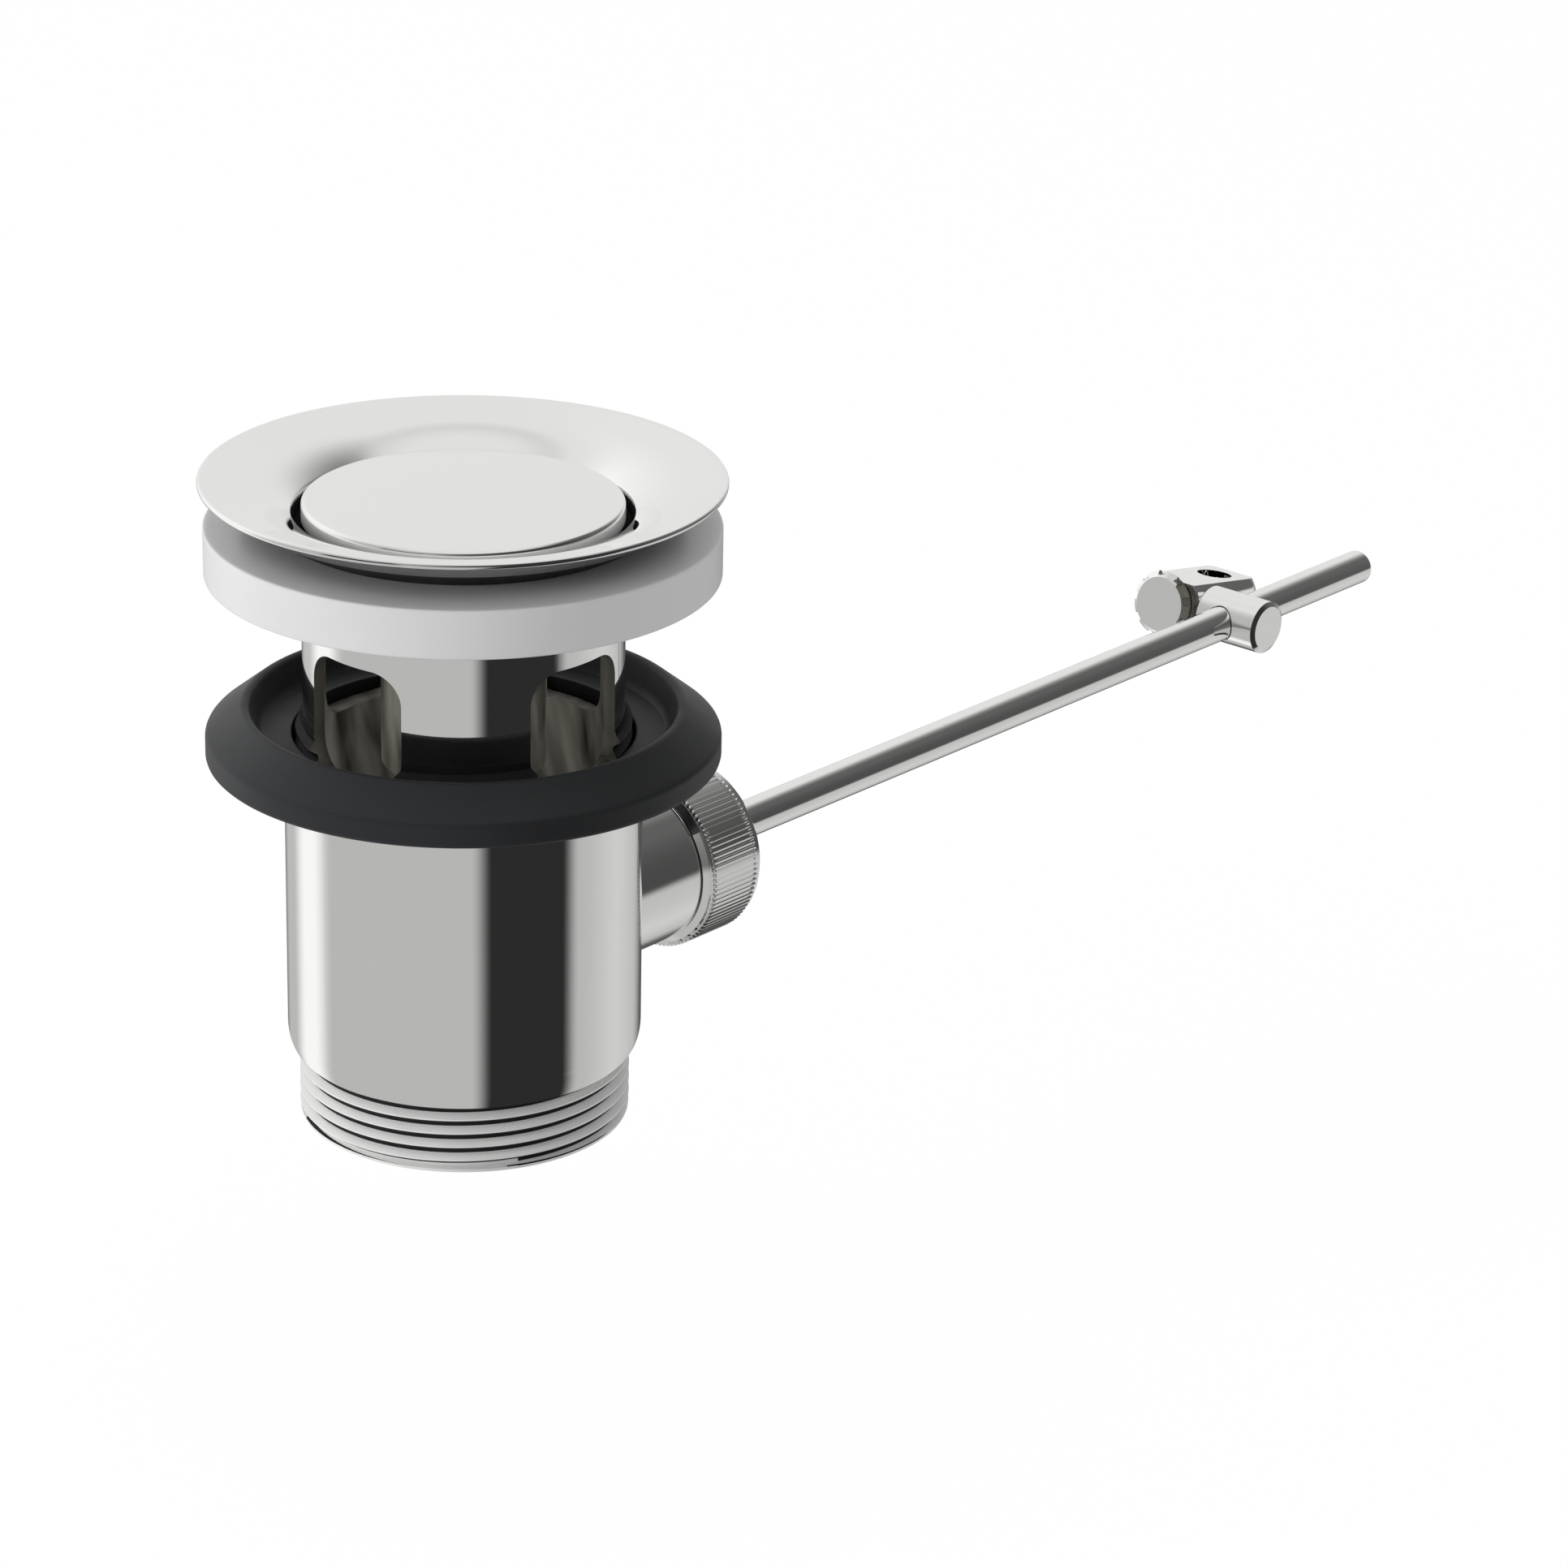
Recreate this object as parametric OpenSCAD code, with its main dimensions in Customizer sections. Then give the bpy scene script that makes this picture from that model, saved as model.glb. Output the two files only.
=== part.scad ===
// Pop-up basin waste, G 1 1/4, worked by a ball rod, with a swivel clamp for the pull rod.
// The origin is on the waste's axis, in the plane of the outlet spigot's lower end.
// +Z points up into the basin and +X runs outwards along the level ball rod.
// The plug is shut, the rod is level and the clamp hangs a little nose-down.

/* [Heights] */
// Height of the flange's rim above the spigot's end
rim_z = 84.5; // [82:0.5:110]
// Height of the body's top face, which carries the lower seal
body_top_z = 48.3; // [47:0.1:50]
// Height of the ball rod's axis
rod_z = 23.2; // [22.8:0.1:26]

/* [Waste body] */
// Outer diameter of the G 1 1/4 thread on the outlet spigot and on the flange cup
thread_d = 41.91; // [41:0.01:43]
// Length of the outlet spigot
spigot_h = 9; // [7:0.5:11]
// Wall of the body around its threaded socket
socket_wall = 1.35; // [1.2:0.05:2.6]
// Wall of the spigot, from the crests of its thread to the bore
spigot_wall = 2.15; // [2:0.05:3]
// Height of the rounding at the body's foot
foot_round_h = 3.3; // [1:0.1:4]
// How far that rounding comes in
foot_round_in = 1.4; // [0.5:0.1:1.4]
// Depth of the threaded socket that takes the flange cup
cup_socket_depth = 12; // [9:0.5:13]

/* [Side stub and ball nut] */
// Diameter of the side stub
stub_d = 21; // [20:0.1:21.5]
// Distance from the waste's axis to the stub's shoulder
stub_shoulder_x = 33.4; // [32:0.1:36]
// Outer diameter of the thread on the stub's end
stub_thread_d = 18.8; // [18.6:0.1:19.2]
// Largest diameter of the ball nut
nut_d = 23.8; // [22.6:0.1:26]
// Length of the ball nut
nut_len = 10.7; // [10.6:0.1:14]
// Length of the nut's cone next to the shoulder
nut_cone_len = 1.1; // [0.5:0.1:2]
// Length of the nut's chamfer at its outer end
nut_chamfer = 1.1; // [0.4:0.1:1.5]
// Bore through the nut's outer wall, which clears the tilting rod
nut_hole_d = 9.8; // [9.4:0.1:10.5]

/* [Ball rod] */
// Diameter of the ball rod
rod_d = 5; // [4:0.1:5.4]
// Distance from the waste's axis to the rod's outer end
rod_reach = 194.5; // [182:0.5:260]
// How far the rod's inner end passes the waste's axis
rod_tail = 6; // [5:0.5:9]
// Diameter of the pivot ball
ball_d = 12; // [11.6:0.1:12.4]
// Outer diameter of the two rings that seat the ball
seat_d = 16; // [15.6:0.1:16.2]
// Thickness of the rubber washer behind the inner seat
washer_t = 1.2; // [0.8:0.1:1.4]

/* [Flange cup] */
// Outer diameter of the flange
flange_d = 65; // [62:0.5:72]
// Thickness of the flange at its rim
rim_t = 0.8; // [0.6:0.1:1.2]
// Slope of the dish at its rim, in degrees
dish_slope = 13; // [11:0.1:15]
// Slope of the bowed dish where it meets the plug's recess, in degrees
lip_slope = 34; // [25:0.5:40]
// Width of the dish's straight outer part
dish_land = 4.2; // [2:0.1:6]
// Width of the sloping seat between the plug's recess and the tube's bore
seat_w = 2.5; // [2.2:0.1:3.2]
// Depth from the rim to the top of the plug's seat
seat_drop = 6.2; // [5.8:0.1:6.6]
// How far the plain tube lies inside the thread's crests
tube_step = 0.95; // [0.8:0.05:1.4]
// Wall of the tube
tube_wall = 1.6; // [1.3:0.1:2]
// Width of one overflow slot
slot_w = 15; // [10:0.5:16]
// Height of one overflow slot
slot_h = 15.3; // [10:0.1:16]
// Radius of the slot's corners
slot_round = 4; // [1:0.1:4.5]
// Height of the slots' lower edge above the body's top face
slot_lift = 1.5; // [0.5:0.1:2.5]

/* [Seals] */
// How far the white seal's edge lies in from the flange's rim
flange_seal_inset = 0.6; // [0.5:0.1:4.5]
// Thickness of the white seal
flange_seal_t = 6.2; // [4:0.1:8]
// How far the black seal's edge lies in from the flange's rim
basin_seal_inset = 0.4; // [-2:0.1:2]
// Height of the black seal's plain outer wall
basin_seal_wall_h = 3.1; // [2:0.1:4]
// Height of the black seal's crest
basin_seal_h = 6.7; // [6:0.1:9]
// Diameter of the crest
crest_d = 54.6; // [54:0.1:56]
// Height of the floor inside the crest
basin_floor_h = 3.1; // [2:0.1:4]
// Gap between the black seal's bore and the thread that passes through it
basin_seal_gap = 0.45; // [0.3:0.05:0.8]

/* [Plug] */
// Gap between the plug's edge and its recess
cap_gap = 1; // [0.7:0.1:1.4]
// Drop from the flange's rim to the cap's edge
cap_drop = 3.3; // [2.9:0.1:3.4]
// Thickness of the cap at its edge
cap_t = 2.2; // [1.8:0.1:2.4]
// Rise of the cap's dome
dome_h = 0.7; // [0.3:0.1:1.2]
// Outer diameter of the plug's tube
plug_tube_d = 20.6; // [18:0.1:24]
// Length of the plug's tube below the cap
plug_tube_len = 31.7; // [28:0.1:36]
// Diameter of the adjusting stem
stem_d = 6; // [5:0.1:8]
// Diameter of the stem's foot
foot_d = 8.4; // [8:0.1:10]
// Gap between the foot and the ball rod
foot_gap = 0.3; // [0.3:0.1:1]

/* [Pull rod clamp] */
// Distance from the waste's axis to the clamp's swivel axis
clamp_x = 162.6; // [120:0.1:172]
// Angle at which the clamp hangs, outer end down
clamp_tilt = 10; // [-30:1:30]
// Diameter of the swivel barrel
barrel_d = 7.8; // [7:0.1:9]
// Length of the barrel on the side away from the clamp block
barrel_near = 6.4; // [5:0.1:9]
// Length of the barrel on the side of the clamp block
barrel_far = 4.4; // [3:0.1:5]
// Diameter of the barrel's shank
shank_d = 4.9; // [4:0.1:5]
// Diameter of the clamp block
block_d = 11; // [10:0.1:11.2]
// Distance from the rod's axis to the block's axis
block_y = 10.2; // [10.1:0.1:12]
// Height of the block's flat above its axis
block_flat_h = 3.6; // [3:0.1:4.6]
// Distance from the swivel axis to the pull rod's hole
hole_x = 8.3; // [7:0.1:10]
// Distance from the pull rod's hole to the block's outer end
hole_end = 4.7; // [4:0.1:6]
// Diameter of the pull rod's hole
pull_hole_d = 5.2; // [4:0.1:5.6]
// Diameter of the thumb screw's rim
screw_d = 11; // [10:0.1:11.2]
// Length of the thumb screw's head
screw_head_len = 2.1; // [1.5:0.1:4]
// Diameter of the thumb screw's thread
screw_thread_d = 3.8; // [3:0.1:4]
// Number of notches in the rim
notch_count = 9; // [6:1:16]

/* [Hidden] */

$fn = 96;
eps = 0.01;
cut = 1;

// Running and seating clearances, on the radius or along the axis
thread_fit = 0.1;
slide_fit = 0.1;
ball_fit = 0.08;
press_fit = 0.02;
soft_fit = 0.3;

thread_r = thread_d / 2;
socket_r = thread_r + thread_fit;
body_r = socket_r + socket_wall;
body_bore_r = thread_r - spigot_wall;
cup_socket_z = body_top_z - cup_socket_depth;

// The gasket lies on the socket's floor and the cup's lower end presses on it.
gasket_t = 1.5;
gasket_gap = 0.25;
gasket_in = 0.6;
cup_end_z = cup_socket_z + gasket_t;
cup_thread_top_z = body_top_z + 5;

// The ball sits between two seat rings inside the stub, and the nut holds them in.
seat_r = seat_d / 2;
seat_t = 3.7;
seat_hole_r = nut_hole_d / 2 - 0.4;
stub_thread_r = stub_thread_d / 2;
nut_floor_t = 2.2;
nut_x = stub_shoulder_x + thread_fit;
nut_end_x = nut_x + nut_len;
nut_floor_x = nut_end_x - nut_floor_t;
stub_end_x = nut_floor_x - 0.4;
ball_r = ball_d / 2;
seat_reach = 4.7;
ball_x = nut_floor_x - seat_reach;
inner_seat_x = ball_x - seat_reach - ball_fit;
washer_x = inner_seat_x - washer_t;
throat_r = 6;
throat_axis_r = 9;
nut_step = 0.7;
nut_edge = 0.2;
nut_end_in = 1;

rod_r = rod_d / 2;
rod_round = 0.5;

// Flange, dish and plug seat
flange_r = flange_d / 2;
tube_r = thread_r - tube_step;
tube_bore_r = tube_r - tube_wall;
recess_r = tube_bore_r + seat_w;
lip_r = 0.9;
lip_start_r = recess_r + lip_r * (1 - sin(lip_slope));
bow_start_r = flange_r - dish_land;
bow_start_z = rim_z - dish_land * tan(dish_slope);
bow_r = (bow_start_r - lip_start_r) / (sin(lip_slope) - sin(dish_slope));
bow_x = bow_start_r + bow_r * sin(dish_slope);
bow_z = bow_start_z - bow_r * cos(dish_slope);
lip_z = bow_z + (bow_r - lip_r) * cos(lip_slope);
seat_z = rim_z - seat_drop;
seat_slope = 0.92;
throat_z = seat_z - (recess_r - tube_bore_r) * seat_slope;
under_z = rim_z - 6;
cup_wall = 1.1;
under_r = recess_r + cup_wall;
flare_z = under_z - (under_r - tube_r) * 1.25;
under_land = 0.9;

// Lower thread of the cup
cup_thread_chamfer = 0.6;
cup_thread_runout = 0.8;

// Slots in the cup
slot_z = body_top_z + slot_lift;
slot_count = 4;

// Seals under the flange and under the basin
flange_seal_r = flange_r - flange_seal_inset;
basin_seal_r = flange_r - basin_seal_inset;
basin_seal_edge = 0.5;
crest_r = crest_d / 2;
crest_round = 0.8;
crest_land = 1.9;
floor_round_r = 0.4;
floor_round_h = 0.3;

// Plug
cap_r = recess_r - cap_gap;
cap_edge_z = rim_z - cap_drop;
cap_under_z = cap_edge_z - cap_t;
cap_round = 0.6;
cap_chamfer = 0.3;
cap_boss_r = 4;
cap_boss_h = 8;
boss_floor_z = cap_under_z - cap_boss_h - 0.5;
plug_seal_t = 3;
plug_seal_in = 0.5;
plug_seal_r = cap_r - plug_seal_in;
plug_collar_r = 15.5;
plug_collar_t = 1.3;
plug_spigot_r = 8;
plug_tube_r = plug_tube_d / 2;
plug_tube_end_z = cap_under_z - plug_tube_len;
plug_wall = 1.7;
plug_edge = 0.4;
stem_r = stem_d / 2;
stem_grip = 10;
stem_top_gap = 0.5;
core_z = boss_floor_z - stem_top_gap - stem_grip;
lock_nut_wall = 2;
lock_nut_af = stem_d + 2 * lock_nut_wall;
lock_nut_h = 5;
foot_r = foot_d / 2;
foot_bottom_z = rod_z + rod_r + foot_gap;
foot_body_h = 4;
stem_in_foot = 3.4;
stem_low_z = foot_bottom_z + foot_body_h + 1.2 - stem_in_foot;

// Clamp
barrel_r = barrel_d / 2;
barrel_chamfer = 0.4;
block_r = block_d / 2;
block_side_y = block_y - block_r;
block_in_x = -2.6;
block_out_x = hole_x + hole_end;
block_chamfer = 0.6;
shank_r = shank_d / 2;
shank_grip = 1.9;
screw_r = screw_d / 2;
screw_thread_r = screw_thread_d / 2;
screw_gap = 0.15;
screw_face_r = screw_r - 1.45;
screw_face_t = 0.65;
notch_w = 1.5;
notch_deep = 0.7;

// Points of an arc about [x, y], from angle a to angle b, in n steps
function arc(x, y, r, a, b, n) =
    [for (i = [0:n]) [x + r * cos(a + (b - a) * i / n), y + r * sin(a + (b - a) * i / n)]];

// Turns a part drawn along +Z so that it runs along +X from the given distance.
module along_x(x) {
    translate([x, 0, rod_z]) rotate([0, 90, 0]) children();
}

// Frame of the swivel barrel: its origin is where the swivel axis crosses the rod's axis.
module at_barrel() {
    translate([clamp_x, 0, rod_z]) children();
}

// Frame of the clamp block, which is turned about the swivel axis
module at_clamp() {
    at_barrel() rotate([0, clamp_tilt, 0]) children();
}

// Cylinder along +Z with both edges chamfered
module chamfered(r, h, low, high) {
    rotate_extrude()
        polygon([[0, 0], [r - low, 0], [r, low], [r, h - high], [r - high, h], [0, h]]);
}

module body_outline() {
    foot = [for (i = [0:6])
        [body_r - foot_round_in * (1 - sin(15 * i)), spigot_h + foot_round_h * (1 - cos(15 * i))]];
    rotate_extrude()
        polygon(concat(
            [[0, 0], [thread_r, 0], [thread_r, spigot_h]],
            foot,
            [[body_r, body_top_z], [0, body_top_z]]));
}

// Cast body: outlet spigot, threaded socket for the cup and side stub for the ball joint
module waste_body() {
    color("silver") difference() {
        union() {
            body_outline();
            along_x(0) cylinder(r = stub_d / 2, h = stub_shoulder_x);
            along_x(0) cylinder(r = stub_thread_r, h = stub_end_x);
        }
        translate([0, 0, -cut]) cylinder(r = body_bore_r, h = body_top_z + 2 * cut);
        translate([0, 0, cup_socket_z]) cylinder(r = socket_r, h = cup_socket_depth + cut);
        along_x(0) cylinder(r1 = throat_axis_r, r2 = throat_r, h = washer_x + eps);
        along_x(washer_x) cylinder(r = seat_r + slide_fit, h = stub_end_x - washer_x + cut);
    }
}

// Flat gasket between the socket's floor and the cup's end
module body_gasket() {
    color("dimgray") translate([0, 0, cup_socket_z]) difference() {
        cylinder(r = socket_r - gasket_gap, h = gasket_t);
        translate([0, 0, -cut]) cylinder(r = tube_bore_r + gasket_in, h = gasket_t + 2 * cut);
    }
}

// Rounded rectangle standing on the X axis, centred on the Y axis
module slot_outline() {
    r = slot_round;
    translate([-slot_w / 2 + r, 0]) square([slot_w - 2 * r, slot_h]);
    translate([-slot_w / 2, r]) square([slot_w, slot_h - 2 * r]);
    for (x = [-slot_w / 2 + r, slot_w / 2 - r], y = [r, slot_h - r])
        translate([x, y]) circle(r = r);
}

// Cup with the dished flange, the plug's seat, the overflow slots and the lower thread
module flange_cup() {
    outside = [
        [tube_bore_r, cup_end_z],
        [thread_r - cup_thread_chamfer, cup_end_z],
        [thread_r, cup_end_z + cup_thread_chamfer],
        [thread_r, cup_thread_top_z],
        [tube_r, cup_thread_top_z + cup_thread_runout],
        [tube_r, flare_z],
        [under_r, under_z],
        [under_r + under_land, under_z],
        [flange_r - 0.4, rim_z - rim_t]];
    rim = arc(flange_r - rim_t / 2, rim_z - rim_t / 2, rim_t / 2, -60, 80, 6);
    bow = arc(bow_x, bow_z, bow_r, 90 + dish_slope, 90 + lip_slope, 7);
    lip = arc(recess_r + lip_r, lip_z, lip_r, 90 + lip_slope + 8, 180, 5);
    seat = [[recess_r, seat_z], [tube_bore_r, throat_z]];
    color("gainsboro") difference() {
        rotate_extrude() polygon(concat(outside, rim, bow, lip, seat));
        for (i = [0:slot_count - 1])
            rotate([0, 0, 360 / slot_count * i])
                translate([tube_bore_r / 2, 0, slot_z])
                    rotate([90, 0, 90]) linear_extrude(tube_r) slot_outline();
    }
}

// White seal between the flange and the basin
module flange_seal() {
    bore_r = tube_r + soft_fit;
    low_z = under_z - flange_seal_t;
    color("whitesmoke") rotate_extrude()
        polygon([
            [bore_r, low_z],
            [flange_seal_r, low_z],
            [flange_seal_r, under_z],
            [under_r + soft_fit, under_z],
            [bore_r, flare_z]]);
}

// Black seal between the basin's underside and the body
module basin_seal() {
    r = basin_seal_r;
    bore_r = thread_r + basin_seal_gap;
    floor_z = body_top_z + basin_floor_h;
    color("#26282a") rotate_extrude()
        polygon(concat(
            [[bore_r, body_top_z], [r - basin_seal_edge, body_top_z], [r, body_top_z + basin_seal_edge]],
            [[r, body_top_z + basin_seal_wall_h]],
            arc(crest_r, body_top_z + basin_seal_h - crest_round, crest_round, 40, 150, 6),
            [[crest_r - crest_land, floor_z + floor_round_h]],
            [[crest_r - crest_land - floor_round_r, floor_z], [bore_r, floor_z]]));
}

// Domed cap with a threaded boss under its centre
module plug_cap() {
    flat_r = cap_r - cap_round;
    dome_r = (flat_r * flat_r + dome_h * dome_h) / (2 * dome_h);
    dome_a = asin(flat_r / dome_r);
    edge_z = cap_edge_z - cap_round;
    color("gainsboro") rotate_extrude()
        polygon(concat(
            [[0, cap_under_z - cap_boss_h], [cap_boss_r, cap_under_z - cap_boss_h]],
            [[cap_boss_r, cap_under_z], [cap_r - cap_chamfer, cap_under_z]],
            [[cap_r, cap_under_z + cap_chamfer]],
            arc(cap_r - cap_round, edge_z, cap_round, 0, 75, 5),
            arc(0, cap_edge_z + dome_h - dome_r, dome_r, 90 - dome_a, 90, 8)));
}

// Rubber seal that closes on the cup's seat
module plug_seal() {
    low_z = cap_under_z - plug_seal_t;
    cone_z = seat_z - (recess_r - soft_fit - plug_seal_r) * seat_slope;
    cone_end_r = plug_seal_r - (cone_z - low_z) / seat_slope;
    color("#202224") rotate_extrude()
        polygon([
            [plug_spigot_r + press_fit, low_z],
            [cone_end_r, low_z],
            [plug_seal_r, cone_z],
            [plug_seal_r, cap_under_z],
            [plug_spigot_r + press_fit, cap_under_z]]);
}

// Tube that hangs from the cap, clamps the plug's seal and holds the stem
module plug_tube() {
    collar_z = cap_under_z - plug_seal_t - plug_collar_t;
    color("silver") difference() {
        union() {
            translate([0, 0, plug_tube_end_z])
                chamfered(plug_tube_r, plug_tube_len - eps, plug_edge, 0);
            translate([0, 0, collar_z]) chamfered(plug_collar_r, plug_collar_t, plug_edge, 0);
        }
        translate([0, 0, cap_under_z - plug_seal_t]) difference() {
            cylinder(r = plug_tube_r + cut, h = plug_seal_t + cut);
            translate([0, 0, -cut]) cylinder(r = plug_spigot_r, h = plug_seal_t + 3 * cut);
        }
        translate([0, 0, boss_floor_z])
            cylinder(r = cap_boss_r + thread_fit, h = cap_under_z - boss_floor_z + cut);
        translate([0, 0, plug_tube_end_z - cut])
            cylinder(r = plug_tube_r - plug_wall, h = core_z - plug_tube_end_z + cut);
        translate([0, 0, core_z - cut])
            cylinder(r = stem_r + thread_fit, h = boss_floor_z - core_z + 2 * cut);
    }
}

// Adjusting stem, screwed into the tube's core
module plug_stem() {
    color("lightgray") translate([0, 0, stem_low_z])
        chamfered(stem_r, core_z + stem_grip - stem_low_z, plug_edge, plug_edge);
}

// Hexagon nut that locks the stem against the tube's core
module stem_lock_nut() {
    color("lightgray") translate([0, 0, core_z - lock_nut_h]) difference() {
        intersection() {
            cylinder(d = lock_nut_af / cos(30), h = lock_nut_h, $fn = 6);
            chamfered(lock_nut_af / 2 / cos(30), lock_nut_h, 0.6, 0.6);
        }
        translate([0, 0, -cut]) cylinder(r = stem_r + thread_fit, h = lock_nut_h + 2 * cut);
    }
}

// Plastic foot on the stem's end, which rests on the ball rod
module stem_foot() {
    ball_z = foot_bottom_z + foot_r;
    color("white") difference() {
        union() {
            intersection() {
                translate([0, 0, ball_z]) sphere(r = foot_r);
                translate([0, 0, foot_bottom_z - cut]) cylinder(r = foot_r + cut, h = foot_r + cut);
            }
            translate([0, 0, ball_z - eps]) cylinder(r = foot_r, h = foot_body_h);
        }
        translate([0, 0, stem_low_z]) cylinder(r = stem_r + press_fit, h = foot_r + foot_body_h);
    }
}

// Steel rod from inside the body to past the clamp
module ball_rod() {
    color("silver") along_x(-rod_tail) chamfered(rod_r, rod_reach + rod_tail, rod_round, rod_round);
}

// Ball pressed onto the rod, the pivot of the whole linkage
module pivot_ball() {
    color("ivory") along_x(ball_x) difference() {
        sphere(r = ball_r);
        translate([0, 0, -ball_r - cut]) cylinder(r = rod_r + press_fit, h = 2 * (ball_r + cut));
    }
}

// Seat ring with a spherical cup; the cup opens towards the far end of the ring.
module ball_seat_ring(ball_at) {
    difference() {
        cylinder(r = seat_r, h = seat_t);
        translate([0, 0, ball_at]) sphere(r = ball_r + ball_fit);
        translate([0, 0, -cut]) cylinder(r = seat_hole_r, h = seat_t + 2 * cut);
    }
}

module inner_ball_seat() {
    color("white") along_x(inner_seat_x) ball_seat_ring(ball_x - inner_seat_x);
}

module outer_ball_seat() {
    color("white") along_x(nut_floor_x) mirror([0, 0, 1]) ball_seat_ring(seat_reach);
}

// Rubber washer that keeps the seats pressed on the ball
module seat_washer() {
    color("#303234") along_x(washer_x) difference() {
        cylinder(r = seat_r - 0.1, h = washer_t);
        translate([0, 0, -cut]) cylinder(r = throat_r, h = washer_t + 2 * cut);
    }
}

// Knurled nut that closes the ball joint
module ball_nut() {
    nut_r = nut_d / 2;
    color("gainsboro") along_x(nut_x) difference() {
        rotate_extrude()
            polygon([
                [0, 0],
                [stub_d / 2, 0],
                [stub_d / 2 + nut_step, nut_cone_len - nut_edge],
                [nut_r - nut_edge, nut_cone_len],
                [nut_r, nut_cone_len + nut_edge],
                [nut_r, nut_len - nut_chamfer],
                [nut_r - nut_edge, nut_len - nut_chamfer + nut_edge],
                [nut_r - nut_end_in, nut_len],
                [0, nut_len]]);
        translate([0, 0, -cut]) cylinder(r = stub_thread_r + thread_fit, h = nut_len - nut_floor_t + cut);
        cylinder(r = nut_hole_d / 2, h = nut_len + cut);
    }
}

// Cross-bored barrel that slides on the rod, with the shank on which the clamp swivels
module swivel_barrel() {
    color("silver") at_barrel() difference() {
        rotate([-90, 0, 0]) {
            translate([0, 0, -barrel_near])
                chamfered(barrel_r, barrel_near + barrel_far, barrel_chamfer, barrel_chamfer);
            chamfered(shank_r, block_side_y + shank_grip, 0, 0.3);
        }
        translate([-barrel_r - cut, 0, 0]) rotate([0, 90, 0])
            cylinder(r = rod_r + slide_fit, h = 2 * (barrel_r + cut));
    }
}

// Round bar with a milled flat, the pull rod's hole, the screw's bore and the shank's socket
module clamp_block() {
    color("gainsboro") at_clamp() difference() {
        translate([block_in_x, block_y, 0]) rotate([0, 90, 0])
            chamfered(block_r, block_out_x - block_in_x, 0.3, block_chamfer);
        translate([block_in_x - cut, block_y - block_r - cut, block_flat_h])
            cube([block_out_x - block_in_x + 2 * cut, 2 * (block_r + cut), block_r]);
        translate([hole_x, block_y, -block_r - cut]) cylinder(d = pull_hole_d, h = 2 * (block_r + cut));
        translate([block_in_x - cut, block_y, 0]) rotate([0, 90, 0])
            cylinder(r = screw_thread_r + thread_fit, h = hole_x - block_in_x + cut);
        translate([0, block_side_y - cut, 0]) rotate([-90, 0, 0])
            cylinder(r = shank_r + slide_fit, h = shank_grip + slide_fit + cut);
    }
}

// Head of the thumb screw, with its face upwards
module screw_head() {
    difference() {
        rotate_extrude()
            polygon([
                [0, 0],
                [screw_r - 0.3, 0],
                [screw_r, 0.3],
                [screw_r, screw_head_len - screw_face_t],
                [screw_face_r, screw_head_len],
                [0, screw_head_len]]);
        for (i = [0:notch_count - 1])
            rotate([0, 0, 360 / notch_count * i])
                translate([screw_r - notch_deep, -notch_w / 2, -cut])
                    cube([notch_deep + cut, notch_w, screw_head_len + 2 * cut]);
    }
}

// Notched thumb screw that grips the pull rod
module thumb_screw() {
    rim_x = block_in_x - screw_gap;
    tip_x = hole_x - pull_hole_d / 2 - slide_fit;
    color("gainsboro") at_clamp() translate([rim_x, block_y, 0]) rotate([0, -90, 0]) {
        screw_head();
        translate([0, 0, rim_x - tip_x]) chamfered(screw_thread_r, tip_x - rim_x + cut, 0.4, 0);
    }
}

waste_body();
body_gasket();
flange_cup();
flange_seal();
basin_seal();
plug_cap();
plug_seal();
plug_tube();
plug_stem();
stem_lock_nut();
stem_foot();
ball_rod();
pivot_ball();
inner_ball_seat();
outer_ball_seat();
seat_washer();
ball_nut();
swivel_barrel();
clamp_block();
thumb_screw();
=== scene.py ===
"""Looks of the pop-up basin waste: chrome shells, threads, knurl, rubber and a plain studio."""

import math

import bmesh
import bpy
from bpy.props import (
    FloatProperty,
    FloatVectorProperty,
    IntProperty,
    PointerProperty,
)
from bpy.types import Operator, Panel, PropertyGroup
from mathutils import Matrix, Vector


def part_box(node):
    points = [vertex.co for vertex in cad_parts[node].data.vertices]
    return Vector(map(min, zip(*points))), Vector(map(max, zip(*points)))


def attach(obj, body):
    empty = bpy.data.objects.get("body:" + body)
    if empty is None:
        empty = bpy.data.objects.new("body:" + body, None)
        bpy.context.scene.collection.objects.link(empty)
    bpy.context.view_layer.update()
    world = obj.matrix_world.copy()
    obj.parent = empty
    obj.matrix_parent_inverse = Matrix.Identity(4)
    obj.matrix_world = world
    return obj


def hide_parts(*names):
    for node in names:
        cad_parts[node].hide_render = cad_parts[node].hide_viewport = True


bl_info = {
    "name": "Basin waste",
    "version": (1, 0, 0),
    "blender": (4, 5, 0),
    "location": "View3D > Sidebar > Waste",
    "description": "Builds a chrome pop-up basin waste with its ball rod, seals and studio",
    "category": "Object",
}

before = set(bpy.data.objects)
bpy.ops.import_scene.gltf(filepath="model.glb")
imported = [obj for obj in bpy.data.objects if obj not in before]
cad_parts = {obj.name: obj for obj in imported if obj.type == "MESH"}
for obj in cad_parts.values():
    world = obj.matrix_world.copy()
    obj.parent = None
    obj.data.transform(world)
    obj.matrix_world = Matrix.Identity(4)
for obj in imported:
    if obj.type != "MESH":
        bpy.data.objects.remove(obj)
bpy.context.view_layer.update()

MM = 0.001
FULL_TURN = 2 * math.pi
CREASE = math.radians(32)
COLUMNS = 256

# In millimetres: distance at which points are one, length of a long run and place of its
# extra points, tolerance of a test, crests of both big threads
MERGE = 1e-4
LONG_RUN = 0.9
HOLD = 0.7
NEAR = 0.02
THREAD_R = 20.955


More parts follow.
